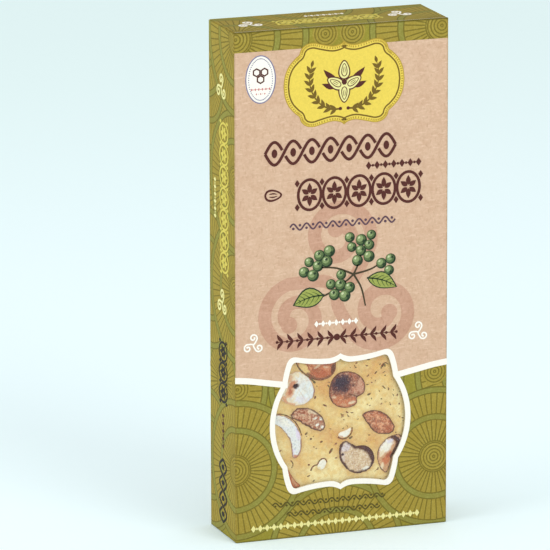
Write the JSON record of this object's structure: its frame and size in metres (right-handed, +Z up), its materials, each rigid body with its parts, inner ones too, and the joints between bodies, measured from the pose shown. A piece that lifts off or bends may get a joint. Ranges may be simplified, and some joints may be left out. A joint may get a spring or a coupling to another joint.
{
  "type": "boxed nougat bar",
  "caption": "Upright folded carton holding a bar of nougat with whole nuts, which shows through a bracket-shaped film window low in the front.",
  "frame": {"origin": "middle of the carton's lower end, which the pack stands on", "axes": "+X to the right across the front panel, +Y from the front panel to the back, +Z up the pack's height"},
  "size_m": [0.0826, 0.0274, 0.19],
  "materials": {
    "carton": "matte printed board",
    "window_film": "clear gloss film",
    "nougat": "satin honey nougat",
    "almond": "rough brown almond skin",
    "hazelnut": "cut hazelnut flesh",
    "pale_nut": "white nut flesh",
    "dark_nut": "dark hazelnut skin"
  },
  "bodies": {
    "root": {"carton": "carton", "window_film": "window_film", "nougat": "nougat", "almond_upper": "almond", "hazelnut_pale": "pale_nut", "hazelnut_dark": "dark_nut", "almond_left": "almond", "almond_right": "almond", "slice_left": "pale_nut", "hazelnut_cut": "hazelnut", "hazelnut_edge": "hazelnut", "chip_middle": "pale_nut", "chip_lower": "pale_nut", "almond_corner": "almond"}
  },
  "joints": []
}
